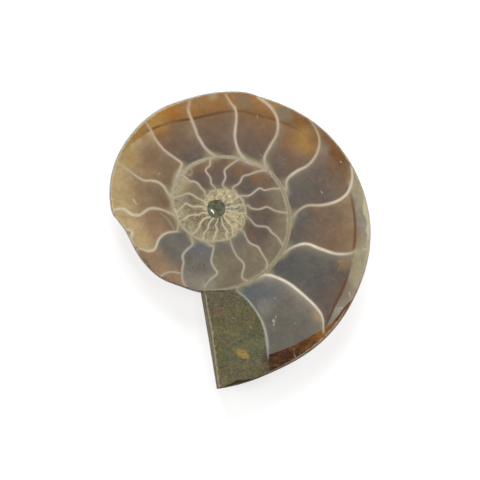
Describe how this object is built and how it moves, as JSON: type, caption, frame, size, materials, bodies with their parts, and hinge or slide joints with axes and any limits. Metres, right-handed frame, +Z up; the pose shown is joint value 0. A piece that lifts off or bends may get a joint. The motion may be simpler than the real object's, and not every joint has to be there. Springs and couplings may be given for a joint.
{
  "type": "ammonite fossil",
  "caption": "Half of a coiled ammonite fossil, sawn through the plane of its coil and polished flat, with a domed flank underneath.",
  "frame": {"origin": "centre of the bounding box, on the surface that the domed flank rests on", "axes": "+Z up, out of the polished face; +Y along the length of the face, away from the sawn end of the body chamber; +X across the face"},
  "size_m": [0.0576, 0.0656, 0.0096],
  "materials": {
    "fossil": "polished on the cut face, satin on the flank"
  },
  "bodies": {
    "root": {"ammonite_half": "fossil"}
  },
  "joints": []
}
